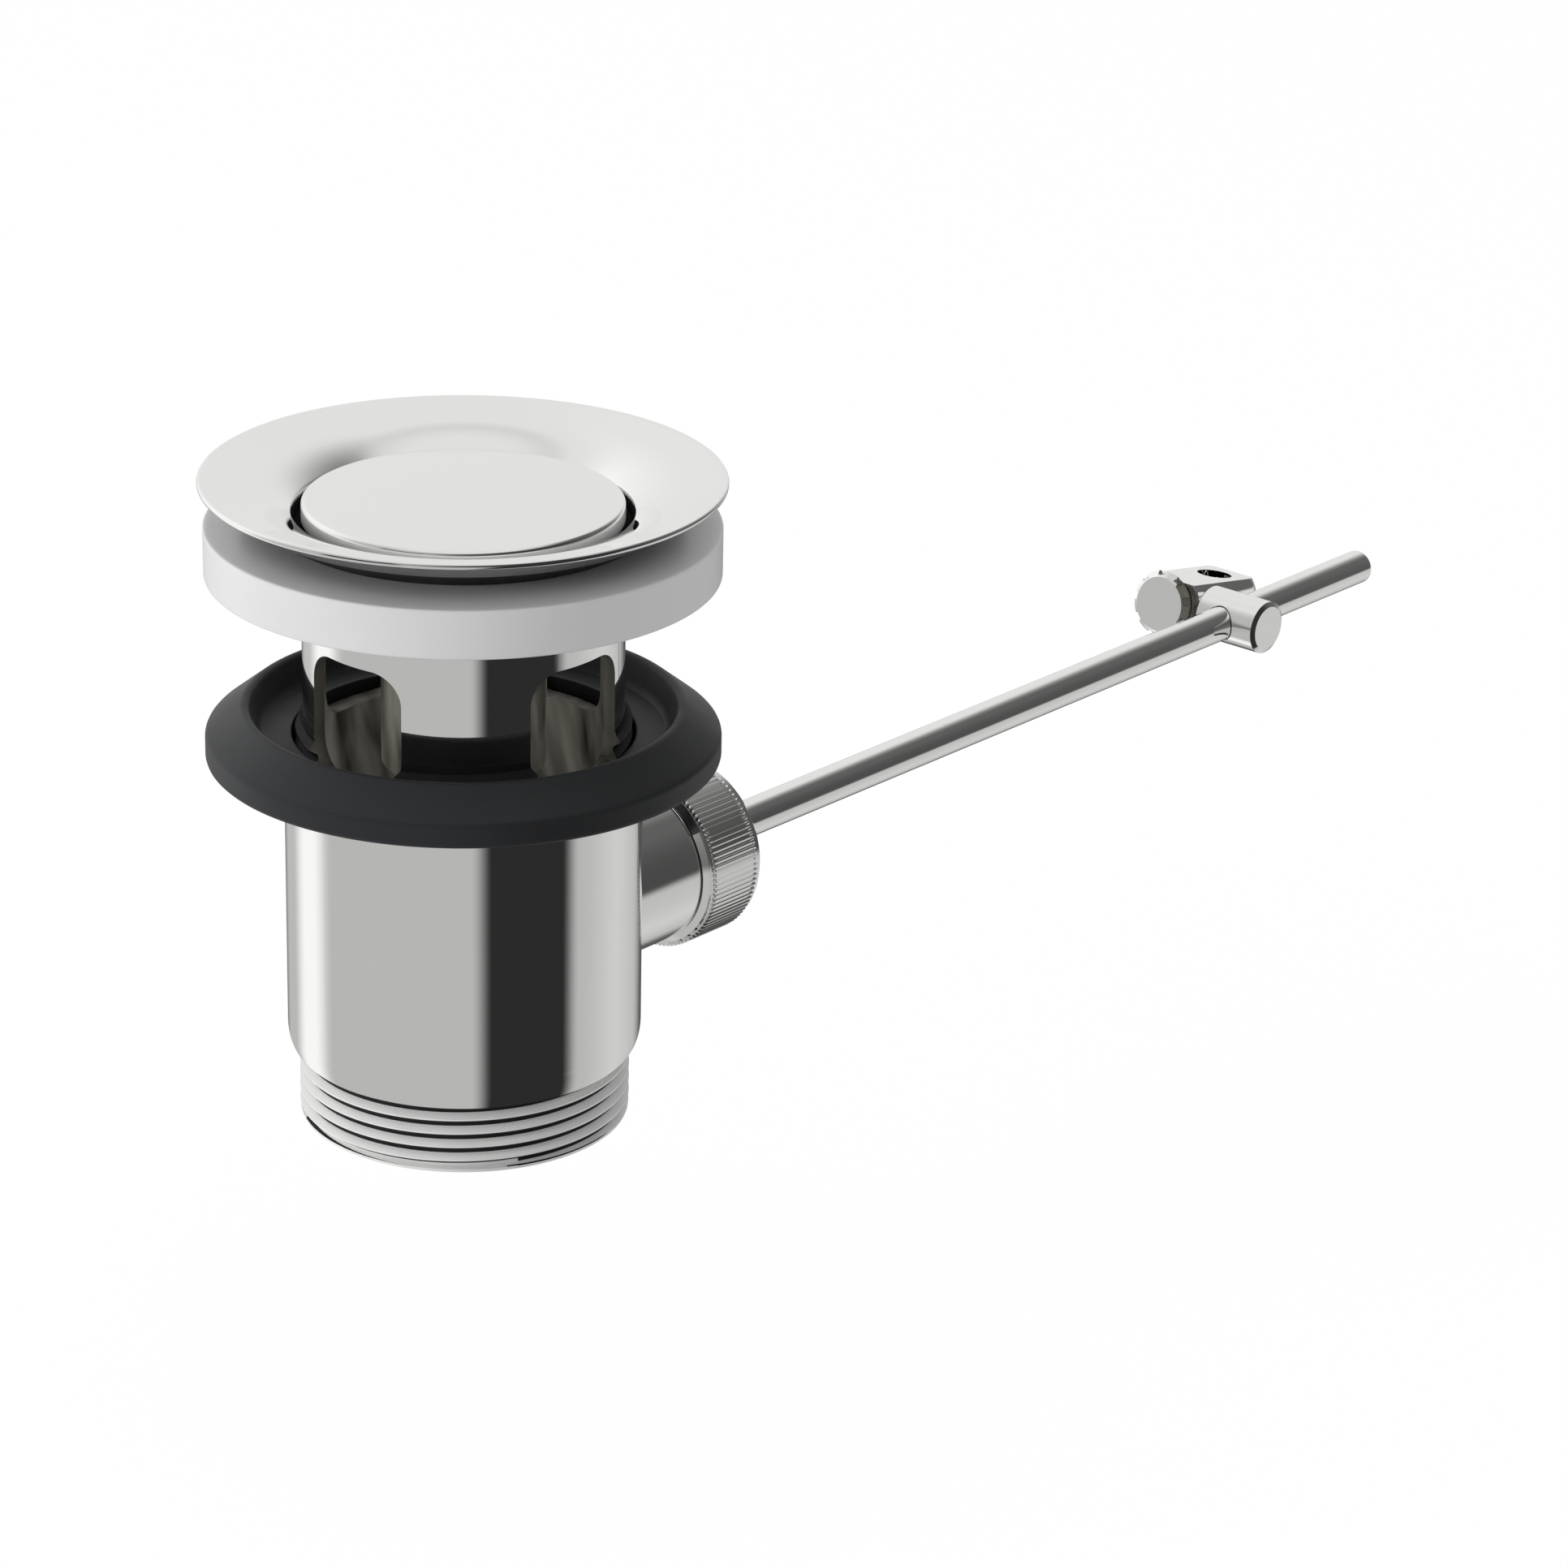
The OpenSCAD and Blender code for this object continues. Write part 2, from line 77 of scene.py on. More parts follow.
def millimetres(node):
    """Lowest and highest corner of a CAD node, in millimetres."""
    low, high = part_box(node)
    return low / MM, high / MM


CUP_LOW, CUP_HIGH = millimetres("flange_cup")
_, BODY_HIGH = millimetres("waste_body")
SEAL_LOW, SEAL_HIGH = millimetres("flange_seal")
RING_LOW, RING_HIGH = millimetres("basin_seal")
CAP_LOW, CAP_HIGH = millimetres("plug_cap")
TUBE_LOW, _ = millimetres("plug_tube")
NUT_LOW, NUT_HIGH = millimetres("ball_nut")
ROD_LOW, ROD_HIGH = millimetres("ball_rod")
BARREL_LOW, BARREL_HIGH = millimetres("swivel_barrel")

ROD_Z = (ROD_LOW.z + ROD_HIGH.z) / 2
RIM_Z = CUP_HIGH.z
FLANGE_R = CUP_HIGH.y
BODY_R = BODY_HIGH.y
BODY_TOP = BODY_HIGH.z
CLAMP_X = (BARREL_LOW.x + BARREL_HIGH.x) / 2
CLAMP_TILT = math.radians(10)
CLAMP_Y = 10.2

# Camera: place in metres, direction, roll in degrees, focal length in pixels of the photograph
CAMERA_PLACE = (-0.4477, -0.4365, 0.2954)
CAMERA_AHEAD = (0.7045, 0.6040, -0.3727)
CAMERA_ROLL = 1.23
FOCAL_PIXELS = 6629
PHOTO_PIXELS = 1932
SENSOR = 36


class WasteSizes(PropertyGroup):
    """Sizes of the waste's fine forms"""

    thread_pitch: FloatProperty(
        name="Thread pitch",
        description="Rise of both big threads in one turn",
        default=1.84 * MM,
        min=1.2 * MM,
        max=2.4 * MM,
        unit="LENGTH",
        precision=5,
    )
    thread_depth: FloatProperty(
        name="Thread depth",
        description="Depth of both big threads",
        default=0.8 * MM,
        min=0.4 * MM,
        max=1.2 * MM,
        unit="LENGTH",
        precision=5,
    )
    knurl_ridges: IntProperty(
        name="Knurl ridges",
        description="Number of straight ridges round the ball nut",
        default=102,
        min=40,
        max=160,
    )
    knurl_depth: FloatProperty(
        name="Knurl depth",
        description="Depth of the ridges on the ball nut",
        default=0.32 * MM,
        min=0.1 * MM,
        max=0.6 * MM,
        unit="LENGTH",
        precision=5,
    )


class WasteColours(PropertyGroup):
    """Colours and finishes of the waste"""

    chrome: FloatVectorProperty(
        name="Chrome",
        description="Tint of the bright chrome",
        subtype="COLOR",
        size=3,
        default=(0.93, 0.928, 0.915),
        min=0,
        max=1,
    )
    rubber: FloatVectorProperty(
        name="Rubber",
        description="Colour of the black seals",
        subtype="COLOR",
        size=3,
        default=(0.0215, 0.0228, 0.0248),
        min=0,
        max=1,
    )
    white_seal: FloatVectorProperty(
        name="White seal",
        description="Colour of the soft seal under the flange",
        subtype="COLOR",
        size=3,
        default=(0.84, 0.84, 0.845),
        min=0,
        max=1,
    )
    chrome_roughness: FloatProperty(
        name="Chrome roughness",
        description="Roughness of the bright chrome",
        default=0.022,
        min=0,
        max=0.4,
        subtype="FACTOR",
    )


# Materials


def new_material(name):
    """Empty node material with its shader, and the nodes and links to fill it."""
    material = bpy.data.materials.new(name)
    material.use_nodes = True
    tree = material.node_tree
    shader = tree.nodes["Principled BSDF"]
    return material, tree.nodes, tree.links, shader


def object_noise(nodes, links, scale, detail=2.0, stretch=(1, 1, 1), lean=(0, 0, 0)):
    """Noise on the object's own coordinates, stretched along the axes; gives its value socket."""
    place = nodes.new("ShaderNodeTexCoord")
    mapping = nodes.new("ShaderNodeMapping")
    mapping.vector_type = "TEXTURE"
    mapping.inputs["Rotation"].default_value = lean
    mapping.inputs["Scale"].default_value = [1 / share for share in stretch]
    links.new(place.outputs["Object"], mapping.inputs["Vector"])
    noise = nodes.new("ShaderNodeTexNoise")
    noise.inputs["Scale"].default_value = scale
    noise.inputs["Detail"].default_value = detail
    links.new(mapping.outputs["Vector"], noise.inputs["Vector"])
    return noise.outputs["Fac"]


def spread(nodes, links, value, low, high, start=0.3, end=0.7):
    """Maps a value between start and end to low and high."""
    ramp = nodes.new("ShaderNodeMapRange")
    ramp.inputs["From Min"].default_value = start
    ramp.inputs["From Max"].default_value = end
    ramp.inputs["To Min"].default_value = low
    ramp.inputs["To Max"].default_value = high
    links.new(value, ramp.inputs["Value"])
    return ramp.outputs["Result"]


def mixed(nodes, links, share, first, second):
    """Colour that moves from the first to the second with a share; each is a tint or a socket."""
    mix = nodes.new("ShaderNodeMix")
    mix.data_type = "RGBA"
    for name, source in (("A", first), ("B", second)):
        if isinstance(source, bpy.types.NodeSocket):
            links.new(source, mix.inputs[name])
        else:
            mix.inputs[name].default_value = (*source, 1)
    links.new(share, mix.inputs["Factor"])
    return mix.outputs["Result"]


def add_bump(nodes, links, shader, height, strength, distance):
    """Fine relief from a height value."""
    bump = nodes.new("ShaderNodeBump")
    bump.inputs["Strength"].default_value = strength
    bump.inputs["Distance"].default_value = distance
    links.new(height, bump.inputs["Height"])
    links.new(bump.outputs["Normal"], shader.inputs["Normal"])


def chrome(name, tint, roughness, stretch=(1, 1, 1), grain=900, spread_by=0.3):
    """Bright metal: faint polishing haze in its tint and roughness."""
    material, nodes, links, shader = new_material(name)
    shader.inputs["Metallic"].default_value = 1
    haze = object_noise(nodes, links, grain, 3, stretch)
    cloud = object_noise(nodes, links, 45, 2)
    links.new(
        spread(nodes, links, haze, roughness * (1 - spread_by), roughness * (1 + spread_by)),
        shader.inputs["Roughness"],
    )
    darker = [c * 0.985 for c in tint]
    links.new(mixed(nodes, links, cloud, darker, tint), shader.inputs["Base Color"])
    return material


def drawn_metal(name, dark, light, metallic=0.15, lean=(0, 0, 0), glow=0.0):
    """Satin metal with long drawing streaks, and a faint painted glow in its own colour when glow
    is given.
    """
    material, nodes, links, shader = new_material(name)
    shader.inputs["Metallic"].default_value = metallic
    shader.inputs["Roughness"].default_value = 0.34
    streaks = object_noise(nodes, links, 240, 2, (1, 1, 0.09), lean)
    colour = mixed(nodes, links, spread(nodes, links, streaks, 0, 1), dark, light)
    links.new(colour, shader.inputs["Base Color"])
    # Painted glow: the streaked colour also shines as emission
    if glow:
        links.new(colour, shader.inputs["Emission Color"])
        shader.inputs["Emission Strength"].default_value = glow
    grain = object_noise(nodes, links, 1500, 2, (1, 1, 0.05))
    add_bump(nodes, links, shader, grain, 0.15, 0.00003)
    return material


def rubber(name, colour, roughness=0.5):
    """Moulded black rubber: matt, finely pitted, with a faint bloom."""
    material, nodes, links, shader = new_material(name)
    shader.inputs["Specular IOR Level"].default_value = 0.35
    pits = object_noise(nodes, links, 2600, 4)
    bloom = object_noise(nodes, links, 120, 3)
    links.new(
        spread(nodes, links, bloom, roughness * 0.92, roughness * 1.1),
        shader.inputs["Roughness"],
    )
    lighter = [min(1, c * 1.22) for c in colour]
    links.new(mixed(nodes, links, bloom, colour, lighter), shader.inputs["Base Color"])
    add_bump(nodes, links, shader, pits, 0.25, 0.00004)
    return material


def soft_plastic(name, colour, roughness, subsurface):
    """Pale moulded plastic: slightly waxy, with faint flow marks."""
    material, nodes, links, shader = new_material(name)
    shader.inputs["Subsurface Weight"].default_value = subsurface
    shader.inputs["Subsurface Radius"].default_value = (1.0, 0.95, 0.9)
    shader.inputs["Subsurface Scale"].default_value = 0.0012
    flow = object_noise(nodes, links, 90, 3)
    grain = object_noise(nodes, links, 1800, 2)
    links.new(
        spread(nodes, links, flow, roughness * 0.9, roughness * 1.12),
        shader.inputs["Roughness"],
    )
    darker = [c * 0.97 for c in colour]
    links.new(mixed(nodes, links, flow, darker, colour), shader.inputs["Base Color"])
    add_bump(nodes, links, shader, grain, 0.12, 0.00003)
    return material


MATERIALS = {}


def make_materials(colours):
    """The finishes of the record's slots, and four more for parts of a piece."""
    bright = tuple(colours.chrome)
    shine = colours.chrome_roughness
    along_rod = (0.02, 1, 1)
    MATERIALS.update(
        chrome_body=chrome("chrome_body", bright, shine),
        chrome_flange=chrome("chrome_flange", bright, shine),
        chrome_plug=chrome("chrome_plug", bright, shine * 1.3),
        chrome_nut=chrome("chrome_nut", bright, shine * 1.3),
        chrome_rod=chrome("chrome_rod", bright, shine * 1.3, along_rod, 2400, 0.4),
        chrome_clamp=chrome("chrome_clamp", bright, shine * 1.2),
        bright_steel=chrome("bright_steel", (0.62, 0.61, 0.59), 0.22, (1, 1, 0.05), 2000),
        black_rubber=rubber("black_rubber", tuple(colours.rubber)),
        grey_gasket=rubber("grey_gasket", (0.12, 0.12, 0.12), 0.8),
        white_seal=soft_plastic("white_seal", tuple(colours.white_seal), 0.36, 0.08),
        white_plastic=soft_plastic("white_plastic", (0.8, 0.79, 0.75), 0.4, 0.05),
        # Dark satin metal; on the thumb screw it is laid as painted shade
        drawn_metal=drawn_metal("drawn_metal", (0.05, 0.046, 0.038), (0.32, 0.3, 0.255)),
        # Bore metal with a painted glow; its leaning streaks are a painted reflection
        bore_metal=drawn_metal(
            "bore_metal", (0.02, 0.019, 0.016), (0.6, 0.57, 0.5), 0.5, (-0.24, -0.2, 0), 0.1
        ),
        satin_metal=drawn_metal("satin_metal", (0.94, 0.94, 0.93), (0.99, 0.99, 0.98)),
        # Near-black matt laid as painted shade in grooves, gaps, the plug's recess and under the
        # flange and cap
        dark_gap=rubber("dark_gap", (0.01, 0.01, 0.01), 0.6),
    )


# Modelling helpers; pieces are shaped in millimetres and scaled once, when they are finished


def held(profile, closed=False):
    """Adds a point near both ends of long straight runs, which keeps their shading true."""
    points = []
    ends = profile[1:] + (profile[:1] if closed else [])
    for (x, y), (u, v) in zip(profile, ends):
        points.append((x, y))
        length = math.hypot(u - x, v - y)
        if length > LONG_RUN:
            share = min(HOLD / length, 0.25)
            points.append((x + (u - x) * share, y + (v - y) * share))
            points.append((u + (x - u) * share, v + (y - v) * share))
    return points if closed else points + [profile[-1]]


def spun(points, columns=COLUMNS, closed=False, rise=0.0):
    """Sweeps a line of radius and height once round Z, climbing by the rise."""
    bm = bmesh.new()
    verts = [bm.verts.new((r, 0, z)) for r, z in points]
    edges = [bm.edges.new(pair) for pair in zip(verts, verts[1:])]
    if closed:
        edges.append(bm.edges.new((verts[-1], verts[0])))
    bmesh.ops.spin(
        bm,
        geom=verts + edges,
        cent=(0, 0, 0),
        axis=(0, 0, 1),
        dvec=(0, 0, rise / columns),
        angle=FULL_TURN,
        steps=columns,
        use_merge=not rise,
    )
    bmesh.ops.remove_doubles(bm, verts=bm.verts[:], dist=MERGE)
    return bm


def turned(profile, columns=COLUMNS, closed=True):
    """Solid of revolution about Z; an open profile starts and ends on the axis."""
    bm = spun(held(profile, closed), columns, closed)
    bmesh.ops.recalc_face_normals(bm, faces=bm.faces[:])
    return bm


def cylinder(radius, low, high, columns=96):
    """Round bar along Z."""
    return turned([(0, low), (radius, low), (radius, high), (0, high)], columns, closed=False)


def on_ring(vert, radius, height):
    """True for a vertex on this ring about Z."""
    off = abs(math.hypot(vert.co.x, vert.co.y) - radius)
    return off < NEAR and abs(vert.co.z - height) < NEAR


def bevelled(bm, edges, width, segments, clamp=False):
    """Rounds these edges."""
    bmesh.ops.bevel(
        bm,
        geom=edges,
        offset=width,
        offset_type="OFFSET",
        segments=segments,
        profile=0.5,
        affect="EDGES",
        clamp_overlap=clamp,
        material=-1,
    )


def rounded(bm, rings, segments=3):
    """Rounds the edges of a turned shape along the rings given as radius, height, width."""
    for radius, height, width in rings:
        edges = [e for e in bm.edges if all(on_ring(v, radius, height) for v in e.verts)]
        bevelled(bm, edges, width, segments, clamp=True)


def helix(crest_r, depth, pitch, low, high):
    """Open screw surface about Z, trimmed flat at its low and high ends."""
    crest, upper, root, lower = 0.11 * pitch, 0.35 * pitch, 0.22 * pitch, 0.32 * pitch
    steps = ((crest, 0), (upper, -depth), (root, -depth), (lower, 0))
    z = low - 2 * pitch
    points = [(crest_r, z)]
    while z < high + 2 * pitch:
        for rise, inwards in steps:
            z += rise
            points.append((crest_r + inwards, z))
    bm = spun(points, rise=pitch)
    for height, upwards in ((low, -1), (high, 1)):
        bmesh.ops.bisect_plane(
            bm,
            geom=bm.verts[:] + bm.edges[:] + bm.faces[:],
            dist=1e-6,
            plane_co=(0, 0, height),
            plane_no=(0, 0, upwards),
            clear_outer=True,
        )
    return bm


def open_loop(bm, height):
    """Boundary edges that lie at this height."""
    return [
        e
        for e in bm.edges
        if e.is_boundary and all(abs(v.co.z - height) < 1e-3 for v in e.verts)
    ]


def grown(bm, edges, profile):
    """Extrudes a loop along a profile of radius and height, and gives the last loop."""
    for radius, height in held(profile):
        made = bmesh.ops.extrude_edge_only(bm, edges=edges)["geom"]
        fresh = {g for g in made if isinstance(g, bmesh.types.BMVert)}
        for v in fresh:
            turn = math.atan2(v.co.y, v.co.x)
            v.co = (radius * math.cos(turn), radius * math.sin(turn), height)
        edges = [
            g
            for g in made
            if isinstance(g, bmesh.types.BMEdge) and all(v in fresh for v in g.verts)
        ]
    return edges


def closed_between(bm, first, second):
    """Joins two open loops with faces and turns all faces outwards."""
    bmesh.ops.bridge_loops(bm, edges=first + second)
    bmesh.ops.recalc_face_normals(bm, faces=bm.faces[:])


def arc(x, y, radius, start, end, steps):
    """Points of an arc in a profile, angles in degrees."""
    turns = [math.radians(start + (end - start) * i / steps) for i in range(steps + 1)]
    return [(x + radius * math.cos(t), y + radius * math.sin(t)) for t in turns]


def mesh_from(bm, name):
    """Mesh from a bmesh, which is freed."""
    mesh = bpy.data.meshes.new(name)
    bm.to_mesh(mesh)
    bm.free()
    return mesh


def in_scene(name, data):
    """New object in the scene."""
    obj = bpy.data.objects.new(name, data)
    bpy.context.scene.collection.objects.link(obj)
    return obj


def combined(base, tool, operation):
    """Joins or cuts two closed shapes and gives the result."""
    base_obj = in_scene("base", mesh_from(base, "base"))
    tool_obj = in_scene("tool", mesh_from(tool, "tool"))
    step = base_obj.modifiers.new("step", "BOOLEAN")
    step.operation = operation
    step.solver = "EXACT"
    step.object = tool_obj
    evaluated = base_obj.evaluated_get(bpy.context.evaluated_depsgraph_get())
    bm = bmesh.new()
    bm.from_mesh(evaluated.to_mesh())
    evaluated.to_mesh_clear()
    for obj in (base_obj, tool_obj):
        mesh = obj.data
        bpy.data.objects.remove(obj)
        bpy.data.meshes.remove(mesh)
    bmesh.ops.remove_doubles(bm, verts=bm.verts[:], dist=MERGE / 10)
    return bm


def placed(bm, turn, move=(0, 0, 0)):
    """Turns a shape and then moves it."""
    bmesh.ops.transform(bm, matrix=Matrix.Translation(move) @ turn, verts=bm.verts[:])
    return bm


def without(bm, tool, turn, move=(0, 0, 0)):
    """Cuts a tool, turned and moved, from a shape."""
    return combined(bm, placed(tool, turn, move), "DIFFERENCE")


def turn_about(axis, degrees):
    """Rotation about a coordinate axis."""
    return Matrix.Rotation(math.radians(degrees), 4, axis)


ALONG_X = turn_about("Y", 90)
ALONG_Y = turn_about("X", -90)


def level_shading(mesh, low, high):
    """Keeps the shading of an outer wall level between two heights, as on the tube above it."""
    normals = [Vector(corner.vector) for corner in mesh.corner_normals]
    for face in mesh.polygons:
        if low < face.center.z / MM < high and outward(face.center, face.normal) > 0.3:
            for i in face.loop_indices:
                point = mesh.vertices[mesh.loops[i].vertex_index].co
                normals[i] = Vector((point.x, point.y, 0)).normalized()
    mesh.normals_split_custom_set(normals)


def finished(bm, name, body, slot, node, areas=(), level=None):
    """Makes the piece an object in metres, on its CAD body and in place of its CAD node.

    Each area is a material and a test of a face's middle and normal in millimetres; where
    tests overlap, the last one counts.
    """
    bm.normal_update()
    for number, (_, inside) in enumerate(areas, 1):
        for face in bm.faces:
            if inside(face.calc_center_median(), face.normal):
                face.material_index = number
    bmesh.ops.scale(bm, vec=(MM, MM, MM), verts=bm.verts[:])
    mesh = mesh_from(bm, name)
    mesh.shade_smooth()
    mesh.set_sharp_from_angle(angle=CREASE)
    mesh.materials.append(MATERIALS[slot])
    for material, _ in areas:
        mesh.materials.append(MATERIALS[material])
    if level:
        level_shading(mesh, *level)
    obj = in_scene(name, mesh)
    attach(obj, body)
    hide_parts(node)


# Pieces


def outward(middle, normal):
    """How far a face looks away from the waste's axis, from -1 to 1."""
    radius = math.hypot(middle.x, middle.y)
    return (middle.x * normal.x + middle.y * normal.y) / radius if radius else 0


def in_groove(crest_r, depth, low, high):
    """Test for the root and the lower flank of a thread, which take painted shade."""

    def inside(middle, normal):
        radius = math.hypot(middle.x, middle.y)
        if not (low < middle.z < high and crest_r - depth - 0.1 < radius < crest_r + NEAR):
            return False
        at_root = radius < crest_r - depth + 0.06 and outward(middle, normal) > 0.5
        return at_root or -0.97 < normal.z < -0.35

    return inside


def zone(low, high, inner, outer, least=-2, most=2):
    """Test for faces between two heights and two radii, by how far they look outwards."""

    def inside(middle, normal):
        return (
            low < middle.z < high
            and inner < math.hypot(middle.x, middle.y) < outer
            and least < outward(middle, normal) < most
        )

    return inside


INNER_WALLS = zone(-1, 78, 0, 21.2, most=-0.4)


def under_flange(middle, normal):
    """Test for the flange's underside next to the white seal, which takes painted shade."""
    return RIM_Z - 6.1 < middle.z < RIM_Z - 3.4 and normal.z < -0.3


def on_body_top(middle, normal):
    """Test for the body's upper rim, which takes painted shade."""
    return middle.z > BODY_TOP - 0.6 and (normal.z > 0.2 or outward(middle, normal) < 0)


class WASTE_OT_body(Operator):
    """Body tube with its threaded spigot, rounded foot and side stub"""

    bl_idname = "waste.body"
    bl_label = "Waste body"

    def execute(self, context):
        sizes = context.scene.waste_sizes
        socket_r, socket_z, bore_r = 21.055, 36.3, 18.805
        foot_z, foot_h, foot_in, thread_low = 9.0, 3.3, 1.4, 0.55
        pitch, depth = sizes.thread_pitch / MM, sizes.thread_depth / MM
        bm = helix(THREAD_R, depth, pitch, thread_low, foot_z)
        foot = [
            (BODY_R - foot_in * (1 - math.sin(a)), foot_z + foot_h * (1 - math.cos(a)))
            for a in map(math.radians, range(0, 91, 9))
        ]
        top = grown(
            bm,
            open_loop(bm, foot_z),
            foot
            + [
                (BODY_R, BODY_TOP - 0.35),
                (BODY_R - 0.12, BODY_TOP - 0.1),
                (BODY_R - 0.35, BODY_TOP),
                (socket_r + 0.3, BODY_TOP),
                (socket_r, BODY_TOP - 0.3),
                (socket_r, socket_z),
                (bore_r, socket_z),
                (bore_r, 34),
            ],
        )
        low = grown(
            bm,
            open_loop(bm, thread_low),
            [
                (THREAD_R - 0.1, 0.5),
                (THREAD_R - 0.1, 0.3),
                (THREAD_R - 0.2, 0.1),
                (THREAD_R - 0.45, 0),
                (bore_r + 0.3, 0),
                (bore_r, 0.3),
                (bore_r, 12),
            ],
        )
        closed_between(bm, top, low)
        in_wall, shoulder, stub_end, stub_r, neck_r = 19.3, 33.4, 41.6, 10.5, 9.4
        stub = turned(
            [
                (0, in_wall),
                (stub_r, in_wall),
                (stub_r, shoulder),
                (neck_r, shoulder),
                (neck_r, stub_end),
                (0, stub_end),
            ],
            192,
            closed=False,
        )
        rounded(stub, [(stub_r, shoulder, 0.2)])
        place = Matrix.Translation((0, 0, ROD_Z)) @ ALONG_X
        bm = combined(bm, placed(stub, place), "UNION")
        seat_x, seat_r, past_end = 30.2, 8.1, 43
        throat = turned(
            [(0, 0), (9, 0), (6, seat_x), (seat_r, seat_x), (seat_r, past_end), (0, past_end)],
            128,
            closed=False,
        )
        bm = without(bm, throat, place)
        finished(
            bm, "body_shell", "waste", "chrome_body", "waste_body",
            areas=(
                ("drawn_metal", INNER_WALLS),
                (
                    "satin_metal",
                    zone(0.1, foot_z, THREAD_R - depth - 0.1, THREAD_R + NEAR, least=0.5),
                ),
                # Painted shade in the thread's grooves
                ("dark_gap", in_groove(THREAD_R, depth, 1.0, foot_z + 0.1)),
                # Painted shade on the body's upper rim
                ("dark_gap", on_body_top),
            ),
            level=(foot_z, foot_z + foot_h + 0.1),
        )
        return {"FINISHED"}


class WASTE_OT_flange_cup(Operator):
    """Dished flange and slotted tube with the plug's seat and the lower thread"""

    bl_idname = "waste.flange_cup"
    bl_label = "Flange cup"

    def execute(self, context):
        sizes = context.scene.waste_sizes
        tube_r, bore_r, recess_r = 20.005, 18.405, 20.905
        thread_top, thread_low = 53.3, 44.0
        pitch, depth = sizes.thread_pitch / MM, 0.9
        bm = helix(THREAD_R, depth, pitch, thread_low, thread_top)
        rim_t, land, lip_r = 0.8, 4.2, 0.9
        slope, lip_slope = 13, 34
        steep, flat = math.radians(lip_slope), math.radians(slope)
        bow_start = FLANGE_R - land
        bow_r = (bow_start - recess_r - lip_r * (1 - math.sin(steep))) / (
            math.sin(steep) - math.sin(flat)
        )
        bow_x = bow_start + bow_r * math.sin(flat)
        bow_z = RIM_Z - land * math.tan(flat) - bow_r * math.cos(flat)
        lip_z = bow_z + (bow_r - lip_r) * math.cos(steep)
        under_z = RIM_Z - 6
        rim = arc(FLANGE_R - 0.4, RIM_Z - 0.4, 0.4, -75, 90 + slope, 9)
        bow = arc(bow_x, bow_z, bow_r, 90 + slope, 90 + lip_slope, 28)
        lip = arc(recess_r + lip_r, lip_z, lip_r, 90 + lip_slope, 180, 10)[1:]
        seat_z = RIM_Z - 6.2
        throat_z = seat_z - (recess_r - bore_r) * 0.92
        top = grown(
            bm,
            open_loop(bm, thread_top),
            [
                (tube_r, thread_top + 0.8),
                (tube_r, 60),
                (tube_r, 68),
                (tube_r, 75.4),
                (tube_r + 0.25, 76.2),
                (22.005, under_z),
                (22.9, under_z),
                (27.5, under_z + 2.62),
                (FLANGE_R - 0.6, RIM_Z - rim_t - 0.06),
            ]
            + rim
            + bow
            + lip
            + [
                (recess_r, seat_z + 0.2),
                (recess_r - 0.15, seat_z - 0.1),
                (bore_r + 0.15, throat_z + 0.1),
                (bore_r, throat_z - 0.2),
                (bore_r, 66),
            ],
        )
        low = grown(
            bm,
            open_loop(bm, thread_low),
            [
                (tube_r, thread_low - 0.2),
                (tube_r, CUP_LOW.z + 0.3),
                (tube_r - 0.3, CUP_LOW.z),
                (bore_r, CUP_LOW.z),
                (bore_r, 52),
                (bore_r, 64),
            ],
        )
        closed_between(bm, top, low)
        # The spin's seam turns away from the slots, because a cut along it can fail
        placed(bm, turn_about("Z", 45))
        for quarter in range(4):
            bm = without(bm, self.slot_tool(), turn_about("Z", 90 * quarter))
        finished(
            bm, "flange_cup_shell", "waste", "chrome_flange", "flange_cup",
            areas=(
                # The bore, with a painted glow and painted reflection streaks
                ("bore_metal", INNER_WALLS),
                # The slots' sides
                ("drawn_metal", zone(49, 66, 18.5, 19.9, -0.5, 0.5)),
                # All of the thread but its crests, in painted shade
                (
                    "dark_gap",
                    zone(thread_low, thread_top + 0.9, tube_r + NEAR, THREAD_R - NEAR),
                ),
                # The upright wall round the plug, in painted shade
                ("dark_gap", zone(RIM_Z - 8, RIM_Z - 4.7, 18, 21, most=-0.3)),
                # The flange's underside, in painted shade
                ("dark_gap", under_flange),
            ),
        )
        return {"FINISHED"}

    def slot_tool(self):
        """Bar with round corners that cuts one overflow slot."""
        length, width, height, middle_x, low, corner = 14, 15.0, 15.3, 17, 49.8, 4.0
        tool = bmesh.new()
        bmesh.ops.create_cube(tool, size=1)
        bmesh.ops.scale(tool, vec=(length, width, height), verts=tool.verts[:])
        bmesh.ops.translate(tool, vec=(middle_x, 0, low + height / 2), verts=tool.verts[:])
        lengthways = [e for e in tool.edges if abs(e.verts[0].co.x - e.verts[1].co.x) > 1]
        bevelled(tool, lengthways, corner, 14)
        return tool


